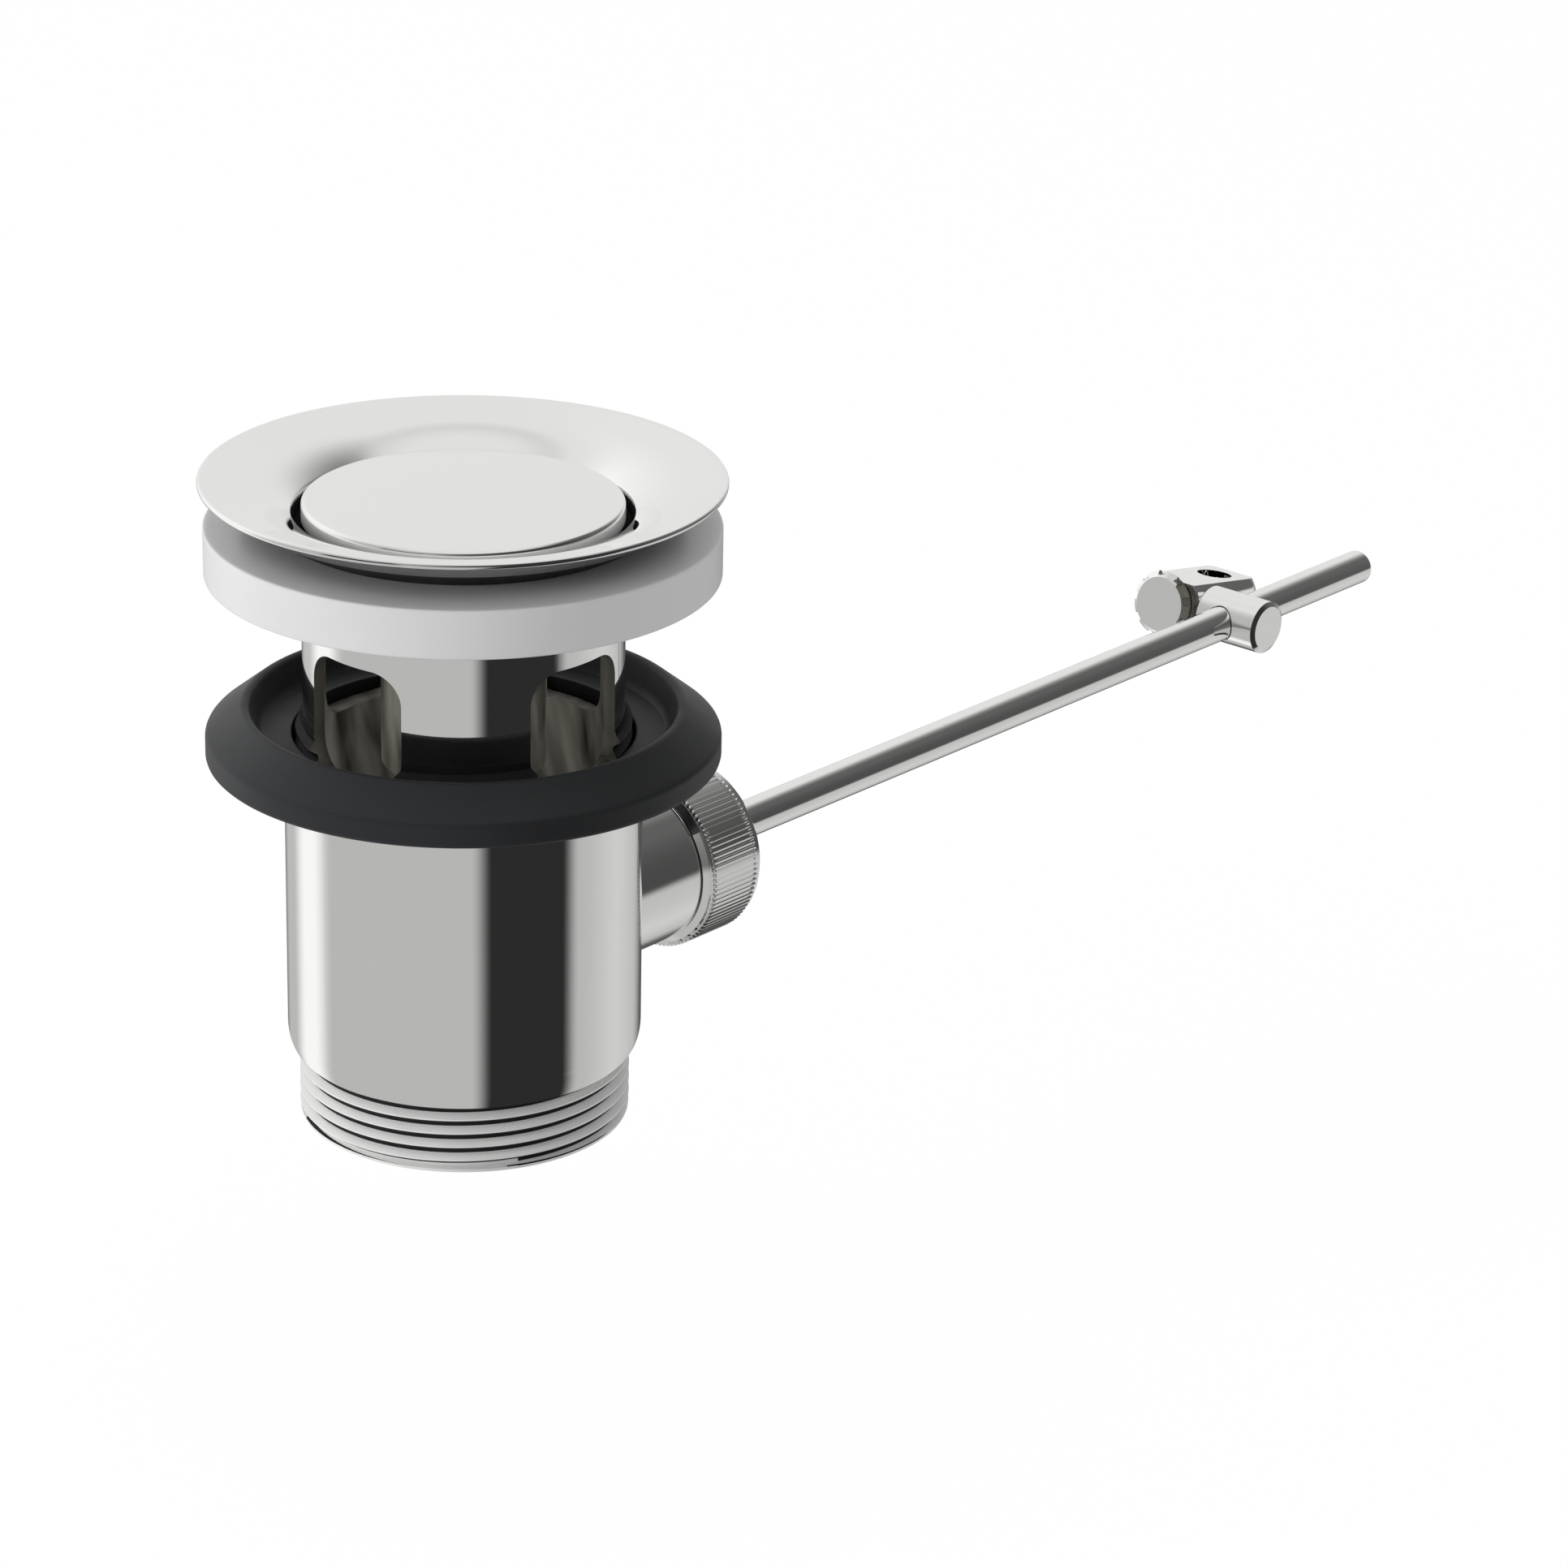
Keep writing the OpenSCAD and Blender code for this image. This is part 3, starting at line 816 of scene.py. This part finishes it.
class WASTE_OT_seals(Operator):
    """White seal under the flange and black seal under the basin"""

    bl_idname = "waste.seals"
    bl_label = "Seals"

    def execute(self, context):
        low, high, r = SEAL_LOW.z, SEAL_HIGH.z, SEAL_HIGH.y
        bore_r, inner_r, cone_z = 20.305, 22.305, 76.3
        seal = turned([(bore_r, low), (r, low), (r, high), (inner_r, high), (bore_r, cone_z)])
        rounded(seal, [(r, low, 0.25), (r, high, 0.25)])
        finished(seal, "flange_seal_ring", "waste", "white_seal", "flange_seal")

        low, r, crest_r = RING_LOW.z, RING_HIGH.y, 27.3
        bore_r, floor_z, crest_round = 21.405, low + 3.1, 0.8
        crest = arc(crest_r, RING_HIGH.z - crest_round, crest_round, 44, 160, 8)
        ring = turned(
            [(bore_r, low), (r, low), (r, floor_z)]
            + crest
            + [(crest_r - 1.9, floor_z + 0.3), (crest_r - 2.3, floor_z), (bore_r, floor_z)]
        )
        rounded(ring, [(r, low, 0.5), (r, floor_z, 0.4), (bore_r, floor_z, 0.2)])
        finished(ring, "basin_seal_ring", "waste", "black_rubber", "basin_seal")
        return {"FINISHED"}


class WASTE_OT_plug(Operator):
    """Domed cap and the bright tube under it"""

    bl_idname = "waste.plug"
    bl_label = "Plug"

    def execute(self, context):
        r, edge_z, under_z, dome = CAP_HIGH.y, RIM_Z - 2.95, RIM_Z - 5.5, 0.7
        edge_round = 0.6
        flat_r = r - edge_round
        dome_r = (flat_r**2 + dome**2) / (2 * dome)
        lean = math.degrees(math.asin(flat_r / dome_r))
        boss_r, boss_z = 4.0, CAP_LOW.z
        cap = turned(
            [(0, boss_z), (boss_r, boss_z), (boss_r, under_z)]
            + [(r - 0.3, under_z), (r, under_z + 0.3)]
            + arc(flat_r, edge_z - edge_round, edge_round, 0, 90 - lean, 8)
            + arc(0, edge_z + dome - dome_r, dome_r, 90 - lean, 90, 24)[1:],
            closed=False,
        )
        finished(
            cap, "plug_cap_shell", "plug", "chrome_plug", "plug_cap",
            areas=(
                ("satin_metal", lambda middle, normal: middle.z < edge_z - edge_round - NEAR),
                # Painted shade under the cap
                ("dark_gap", lambda middle, normal: middle.z < under_z + 0.1),
            ),
        )

        tube_r, low, collar_r = 10.3, TUBE_LOW.z, 15.5
        collar_z = under_z - 4.3
        collar_top, inner_r, spigot_r, core_z, stem_r = collar_z + 1.3, 8.6, 8.0, 60.0, 3.1
        hole_r, hole_z, tube_top = 4.1, under_z - 8.5, under_z - 0.01
        tube = turned(
            [
                (inner_r, low),
                (tube_r, low),
                (tube_r, collar_z),
                (collar_r, collar_z),
                (collar_r, collar_top),
                (spigot_r, collar_top),
                (spigot_r, tube_top),
                (hole_r, tube_top),
                (hole_r, hole_z),
                (stem_r, hole_z),
                (stem_r, core_z),
                (inner_r, core_z),
            ],
            192,
        )
        rounded(tube, [(tube_r, low, 0.4), (inner_r, low, 0.3), (collar_r, collar_z, 0.3)])
        finished(
            tube, "plug_tube_shell", "plug", "chrome_plug", "plug_tube",
            areas=(
                # Painted glow and painted reflection streaks below the collar
                ("bore_metal", lambda middle, normal: middle.z < collar_z - 0.2),
                # Painted shade on the collar and above it
                ("dark_gap", lambda middle, normal: middle.z > collar_z - 0.2),
            ),
        )
        return {"FINISHED"}


class WASTE_OT_ball_nut(Operator):
    """Nut of the ball joint with its straight knurl"""

    bl_idname = "waste.ball_nut"
    bl_label = "Ball nut"

    def execute(self, context):
        sizes = context.scene.waste_sizes
        depth = sizes.knurl_depth / MM
        ridges = sizes.knurl_ridges
        length = NUT_HIGH.x - NUT_LOW.x
        r = NUT_HIGH.y
        knurl_start, knurl_end = 1.0, length - 1.5
        collar_r = r - depth - 0.05
        neck_r, inner_z, hole_r = 9.5, length - 2.2, 4.9
        nut = turned(
            [
                (neck_r, 0),
                (10.5, 0),
                (11.2, 0.6),
                (collar_r, 0.62),
                (collar_r, knurl_start - 0.02),
                (r - 0.1, knurl_start),
                (r, knurl_start + 0.12),
                (r, knurl_end - 0.12),
                (r - 0.1, knurl_end),
                (collar_r, knurl_end + 0.02),
                (collar_r, length - 0.75),
                (r - 1, length),
                (hole_r, length),
                (hole_r, inner_z),
                (neck_r, inner_z),
            ],
            ridges * 4,
        )
        for v in nut.verts:
            radius = math.hypot(v.co.x, v.co.y)
            on_knurl = knurl_start - 0.01 < v.co.z < knurl_end + 0.01
            column = round(math.atan2(v.co.y, v.co.x) / FULL_TURN * ridges * 4) % 4
            if on_knurl and radius > collar_r + 0.05 and column in (2, 3):
                v.co.xy *= (r - depth) / radius
        rounded(nut, [(r - 1, length, 0.25), (hole_r, length, 0.2)])
        place = Matrix.Translation((NUT_LOW.x, 0, ROD_Z)) @ ALONG_X
        finished(placed(nut, place), "ball_nut_knurled", "nut", "chrome_nut", "ball_nut")
        return {"FINISHED"}


class WASTE_OT_ball_rod(Operator):
    """Round rod with softened ends"""

    bl_idname = "waste.ball_rod"
    bl_label = "Ball rod"

    def execute(self, context):
        length = ROD_HIGH.x - ROD_LOW.x
        r = ROD_HIGH.y
        rod = cylinder(r, 0, length)
        rounded(rod, [(r, 0, 0.45), (r, length, 0.45)], 4)
        place = Matrix.Translation((ROD_LOW.x, 0, ROD_Z)) @ ALONG_X
        finished(placed(rod, place), "ball_rod_shell", "rod", "chrome_rod", "ball_rod")
        return {"FINISHED"}


class WASTE_OT_clamp(Operator):
    """Swivel barrel, clamp block and thumb screw"""

    bl_idname = "waste.clamp"
    bl_label = "Pull rod clamp"

    def execute(self, context):
        at_barrel = Matrix.Translation((CLAMP_X, 0, ROD_Z))
        at_clamp = at_barrel @ Matrix.Rotation(CLAMP_TILT, 4, "Y")
        self.barrel(at_barrel)
        self.block(at_clamp)
        self.screw(at_clamp)
        return {"FINISHED"}

    def barrel(self, place):
        """Cross-bored barrel with the shank that carries the block."""
        r, near, far, shank_r, shank_end, bore_r = 3.9, -6.4, 4.4, 2.45, 6.6, 2.6
        shape = turned(
            [
                (0, near),
                (r - 0.65, near),
                (r, near + 0.45),
                (r, far - 0.4),
                (r - 0.35, far),
                (shank_r, far),
                (shank_r, shank_end - 0.3),
                (shank_r - 0.3, shank_end),
                (0, shank_end),
            ],
            128,
            closed=False,
        )
        shape = without(placed(shape, ALONG_Y), cylinder(bore_r, -6, 6), ALONG_X)
        finished(
            placed(shape, place), "swivel_barrel_shell", "barrel", "chrome_clamp",
            "swivel_barrel",
        )

    def block(self, place):
        """Round bar with a flat, the pull rod's hole, the screw's hole and the shank's socket."""
        r, start, end, flat_z = 5.5, -2.6, 13.0, 3.6
        hole_r, hole_x, screw_r, screw_end, socket_r = 2.6, 8.3, 2, 8.5, 2.55
        shape = turned(
            [
                (0, start),
                (r - 0.3, start),
                (r, start + 0.3),
                (r, end - 0.9),
                (r - 0.45, end),
                (0, end),
            ],
            128,
            closed=False,
        )
        placed(shape, ALONG_X)
        cut = bmesh.ops.bisect_plane(
            shape,
            geom=shape.verts[:] + shape.edges[:] + shape.faces[:],
            plane_co=(0, 0, flat_z),
            plane_no=(0, 0, 1),
            clear_outer=True,
        )
        rim = [g for g in cut["geom_cut"] if isinstance(g, bmesh.types.BMEdge)]
        bmesh.ops.holes_fill(shape, edges=rim, sides=0)
        shape = without(shape, cylinder(hole_r, -8, 8), Matrix.Translation((hole_x, 0, 0)))
        shape = without(shape, cylinder(screw_r, start - 1, screw_end, 64), ALONG_X)
        shape = without(shape, cylinder(socket_r, -2, 2, 64), ALONG_Y, (0, -r, 0))
        placed(shape, Matrix.Translation((0, CLAMP_Y, 0)))
        finished(
            placed(shape, place), "clamp_block_shell", "clamp", "chrome_clamp",
            "clamp_block",
        )

    def screw(self, place):
        """Notched screw, with painted shade on its notches and on its far side, which the block
        shades.
        """
        r, face_r, length, thread_r, tip, seat_x = 4.95, 4.05, 2.1, 1.9, -8.5, -2.75
        notches, columns, notch_columns, notch_r, neck_r = 9, 24, 9, 4.4, 4.3
        shape = turned(
            [
                (0, tip),
                (thread_r - 0.4, tip),
                (thread_r, tip + 0.4),
                (thread_r, 0),
                (neck_r, 0),
                (neck_r, 0.75),
                (r - 0.15, 0.85),
                (r, 1.0),
                (r, length - 0.65),
                (face_r, length),
                (0, length),
            ],
            notches * columns,
            closed=False,
        )
        for v in shape.verts:
            radius = math.hypot(v.co.x, v.co.y)
            turn = math.atan2(v.co.y, v.co.x) / FULL_TURN * notches * columns
            if radius > notch_r and round(turn) % columns < notch_columns:
                v.co.xy *= notch_r / radius
        placed(shape, turn_about("Y", -90), (seat_x, CLAMP_Y, 0))
        along, hub = place.to_3x3() @ Vector((1, 0, 0)), place @ Vector((0, CLAMP_Y, 0))

        def painted_shade_area(middle, normal):
            """Test for the notches and the rim's far side, which take painted shade."""
            away = middle - hub
            away -= along * away.dot(along)
            facing = abs(normal.dot(along))
            return facing < 0.3 and away.length < notch_r + 0.1 or facing < 0.95 and away.y < -2.5

        # The dark satin metal on the notches and the far side is painted shade
        finished(
            placed(shape, place), "thumb_screw_shell", "screw", "chrome_clamp",
            "thumb_screw", areas=(("drawn_metal", painted_shade_area),),
        )


class WASTE_OT_inner_pieces(Operator):
    """Finishes of the CAD pieces that stay as they are"""

    bl_idname = "waste.inner_pieces"
    bl_label = "Inner pieces"

    def execute(self, context):
        for node, slot in (
            ("body_gasket", "grey_gasket"),
            ("plug_seal", "black_rubber"),
            ("plug_stem", "bright_steel"),
            ("stem_lock_nut", "bright_steel"),
            ("stem_foot", "white_plastic"),
            ("pivot_ball", "white_plastic"),
            ("inner_ball_seat", "white_plastic"),
            ("outer_ball_seat", "white_plastic"),
            ("seat_washer", "black_rubber"),
        ):
            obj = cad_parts[node]
            for holder in obj.material_slots:
                holder.material = MATERIALS[slot]
        return {"FINISHED"}


# Studio

# Brightness of the walls that the chrome shows, of the light on matt surfaces, and of the
# floor as the camera sees it
WALL_BRIGHTNESS = 0.5
FILL_BRIGHTNESS = 0.53
FLOOR_BRIGHTNESS = 0.93
FLOOR_Z = -0.035

# Panels that the chrome shows, painted one over another: azimuth of the middle, width and
# soft edge, elevation of the middle, height and soft edge, all in degrees, and brightness
PANELS = (
    ("pale side", 70, 120, 30, 25, 70, 10, 0.8),
    ("upper window", 92, 50, 50, 15, 60, 20, 1.0),
    ("dim side", -75, 160, 50, 25, 70, 10, 0.12),
    ("dark side", -85, 80, 40, 12, 50, 8, 0.03),
    ("dark back", 180, 34, 8, 7, 38, 6, 0.03),
    ("dark card", -94, 62, 14, -50, 80, 5, 0.025),
    ("soft box", -20, 36, 44, -50, 80, 5, 0.65),
    ("grey card", 38, 40, 24, -40, 55, 5, 0.1),
    ("window", 105, 30, 20, -30, 70, 30, 1.0),
    ("ceiling", 0, 360, 1, 85, 50, 30, 0.8),
)


class WASTE_OT_studio(Operator):
    """Camera, floor, key lamp and the walls and panels that the chrome shows"""

    bl_idname = "waste.studio"
    bl_label = "Studio"

    def execute(self, context):
        self.camera(context)
        self.world(context)
        self.floor()
        self.lamp()
        context.scene.view_settings.view_transform = "Standard"
        return {"FINISHED"}

    def camera(self, context):
        """Camera at the photograph's viewing angle."""
        data = bpy.data.cameras.new("camera")
        data.sensor_width = SENSOR
        data.lens = SENSOR * FOCAL_PIXELS / PHOTO_PIXELS
        data.clip_start, data.clip_end = 0.01, 20
        ahead = Vector(CAMERA_AHEAD).normalized()
        right = ahead.cross(Vector((0, 0, 1))).normalized()
        up = right.cross(ahead)
        roll = math.radians(CAMERA_ROLL)
        right_turned = math.cos(roll) * right + math.sin(roll) * up
        up_turned = math.cos(roll) * up - math.sin(roll) * right
        matrix = Matrix((right_turned, up_turned, -ahead)).transposed().to_4x4()
        matrix.translation = CAMERA_PLACE
        camera = in_scene("camera", data)
        camera.matrix_world = matrix
        context.scene.camera = camera

    def world(self, context):
        """White for the camera, soft grey for matt surfaces, walls and panels for the chrome."""
        world = bpy.data.worlds.new("studio")
        world.use_nodes = True
        context.scene.world = world
        nodes, links = world.node_tree.nodes, world.node_tree.links
        nodes.clear()

        def value(kind, *inputs):
            """Result of a calculation; each input is a number or a socket."""
            node = nodes.new("ShaderNodeMath")
            node.operation = kind
            for i, source in enumerate(inputs):
                if isinstance(source, (int, float)):
                    node.inputs[i].default_value = source
                else:
                    links.new(source, node.inputs[i])
            return node.outputs[0]

        place = nodes.new("ShaderNodeTexCoord")
        parts = nodes.new("ShaderNodeSeparateXYZ")
        links.new(place.outputs["Generated"], parts.inputs[0])
        turn = value("ARCTAN2", parts.outputs["Y"], parts.outputs["X"])
        rise = value("ARCSINE", parts.outputs["Z"])

        def mask(angle, middle, size, soft):
            """Share of a panel at an angle, from 0 to 1."""
            off = value("WRAP", value("SUBTRACT", angle, middle), math.pi, -math.pi)
            edge = nodes.new("ShaderNodeMapRange")
            edge.interpolation_type = "SMOOTHSTEP"
            edge.inputs["From Min"].default_value = (size + soft) / 2
            edge.inputs["From Max"].default_value = (size - soft) / 2
            links.new(value("ABSOLUTE", off), edge.inputs["Value"])
            return edge.outputs["Result"]

        walls = WALL_BRIGHTNESS
        for _, *angles, brightness in PANELS:
            azimuth, width, side_soft, elevation, height, end_soft = map(math.radians, angles)
            share = value(
                "MULTIPLY",
                mask(turn, azimuth, width, side_soft),
                mask(rise, elevation, height, end_soft),
            )
            walls = value("MULTIPLY_ADD", share, value("SUBTRACT", brightness, walls), walls)

        path = nodes.new("ShaderNodeLightPath")
        glossy, clear = path.outputs["Is Glossy Ray"], path.outputs["Is Transmission Ray"]
        fill, white = [FILL_BRIGHTNESS] * 3, (1, 1, 1)
        plain = mixed(nodes, links, path.outputs["Is Camera Ray"], fill, white)
        seen = mixed(nodes, links, value("MAXIMUM", glossy, clear), plain, walls)
        background = nodes.new("ShaderNodeBackground")
        links.new(seen, background.inputs["Color"])
        output = nodes.new("ShaderNodeOutputWorld")
        links.new(background.outputs[0], output.inputs["Surface"])

    def floor(self):
        """Pale floor, low enough for the tilted rod."""
        bm = bmesh.new()
        bmesh.ops.create_grid(bm, x_segments=2, y_segments=2, size=6)
        mesh = mesh_from(bm, "floor")
        floor = in_scene("floor", mesh)
        floor.location.z = FLOOR_Z
        floor.visible_glossy = False
        material = bpy.data.materials.new("pale_floor")
        material.use_nodes = True
        nodes, links = material.node_tree.nodes, material.node_tree.links
        nodes.clear()
        glow = nodes.new("ShaderNodeEmission")
        glow.inputs["Color"].default_value = (1, 1, 1, 1)
        glow.inputs["Strength"].default_value = FLOOR_BRIGHTNESS
        faint = nodes.new("ShaderNodeBsdfDiffuse")
        faint.inputs["Color"].default_value = (0.12, 0.12, 0.12, 1)
        both = nodes.new("ShaderNodeAddShader")
        links.new(glow.outputs[0], both.inputs[0])
        links.new(faint.outputs[0], both.inputs[1])
        matt = nodes.new("ShaderNodeBsdfDiffuse")
        matt.inputs["Color"].default_value = (0.8, 0.8, 0.8, 1)
        path = nodes.new("ShaderNodeLightPath")
        mix = nodes.new("ShaderNodeMixShader")
        links.new(path.outputs["Is Camera Ray"], mix.inputs[0])
        links.new(matt.outputs[0], mix.inputs[1])
        links.new(both.outputs[0], mix.inputs[2])
        output = nodes.new("ShaderNodeOutputMaterial")
        links.new(mix.outputs[0], output.inputs["Surface"])
        mesh.materials.append(material)

    def lamp(self):
        """Soft key lamp, which the chrome doesn't show."""
        data = bpy.data.lights.new("key", "AREA")
        data.shape = "DISK"
        data.size, data.energy = 0.6, 6.6
        azimuth, elevation, distance = math.radians(158), math.radians(6), 1.2
        target = Vector((0.03, 0, 0.045))
        away = Vector(
            (
                math.cos(azimuth) * math.cos(elevation),
                math.sin(azimuth) * math.cos(elevation),
                math.sin(elevation),
            )
        )
        lamp = in_scene("key", data)
        lamp.location = target + away * distance
        lamp.rotation_euler = (-away).to_track_quat("-Z", "Y").to_euler()
        lamp.visible_glossy = False


OPERATORS = (
    WASTE_OT_studio,
    WASTE_OT_body,
    WASTE_OT_flange_cup,
    WASTE_OT_seals,
    WASTE_OT_plug,
    WASTE_OT_ball_nut,
    WASTE_OT_ball_rod,
    WASTE_OT_clamp,
    WASTE_OT_inner_pieces,
)


class WASTE_PT_sidebar(Panel):
    """Steps that build the waste, in order"""

    bl_idname = "WASTE_PT_sidebar"
    bl_label = "Basin waste"
    bl_space_type = "VIEW_3D"
    bl_region_type = "UI"
    bl_category = "Waste"

    def draw(self, context):
        for group in (context.scene.waste_sizes, context.scene.waste_colours):
            for name in group.__annotations__:
                self.layout.prop(group, name)
        for operator in OPERATORS:
            self.layout.operator(operator.bl_idname)


CLASSES = (WasteSizes, WasteColours, *OPERATORS, WASTE_PT_sidebar)


def register():
    for cls in CLASSES:
        bpy.utils.register_class(cls)
    bpy.types.Scene.waste_sizes = PointerProperty(type=WasteSizes)
    bpy.types.Scene.waste_colours = PointerProperty(type=WasteColours)


def unregister():
    del bpy.types.Scene.waste_colours
    del bpy.types.Scene.waste_sizes
    for cls in reversed(CLASSES):
        bpy.utils.unregister_class(cls)


def main():
    register()
    make_materials(bpy.context.scene.waste_colours)
    bpy.ops.waste.studio()
    bpy.ops.waste.body()
    bpy.ops.waste.flange_cup()
    bpy.ops.waste.seals()
    bpy.ops.waste.plug()
    bpy.ops.waste.ball_nut()
    bpy.ops.waste.ball_rod()
    bpy.ops.waste.clamp()
    bpy.ops.waste.inner_pieces()


if __name__ == "__main__":
    main()
